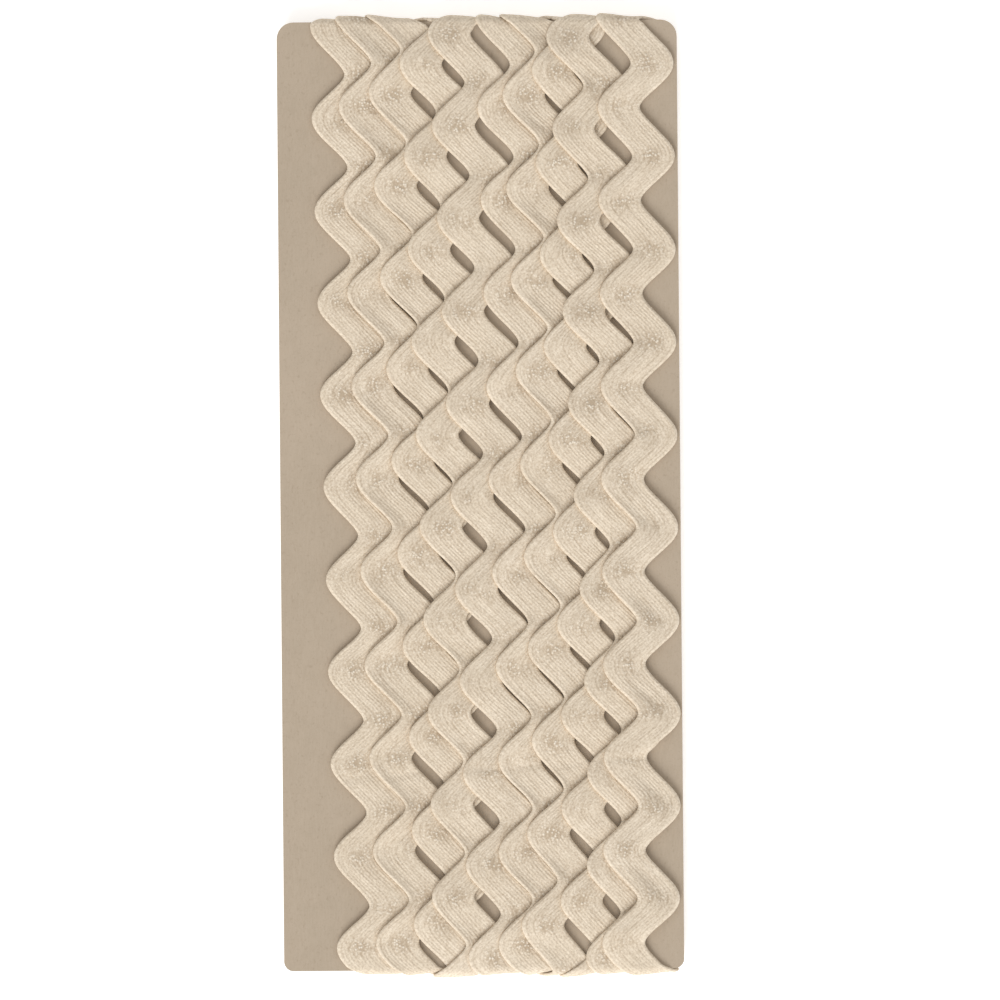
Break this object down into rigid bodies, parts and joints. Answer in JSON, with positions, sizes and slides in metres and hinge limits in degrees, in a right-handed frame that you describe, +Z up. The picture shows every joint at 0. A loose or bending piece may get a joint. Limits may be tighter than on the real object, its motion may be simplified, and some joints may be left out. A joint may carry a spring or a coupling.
{
  "type": "ric rac trim wound on a pasteboard card",
  "caption": "Flat card wound lengthwise with overlapping turns of white cotton ric rac, lying on its back.",
  "frame": {"origin": "under the middle of the whole object, on the plane that its underside rests on", "axes": "+X to the side that the last turn lies on, +Y to the card's top end, +Z up out of the front face"},
  "size_m": [0.0576, 0.1396, 0.0054],
  "materials": {
    "card": "matt grey pasteboard",
    "cotton_braid": "matt braided cotton, warm white"
  },
  "bodies": {
    "root": {"card": "card", "ric_rac_winding": "cotton_braid"}
  },
  "joints": []
}
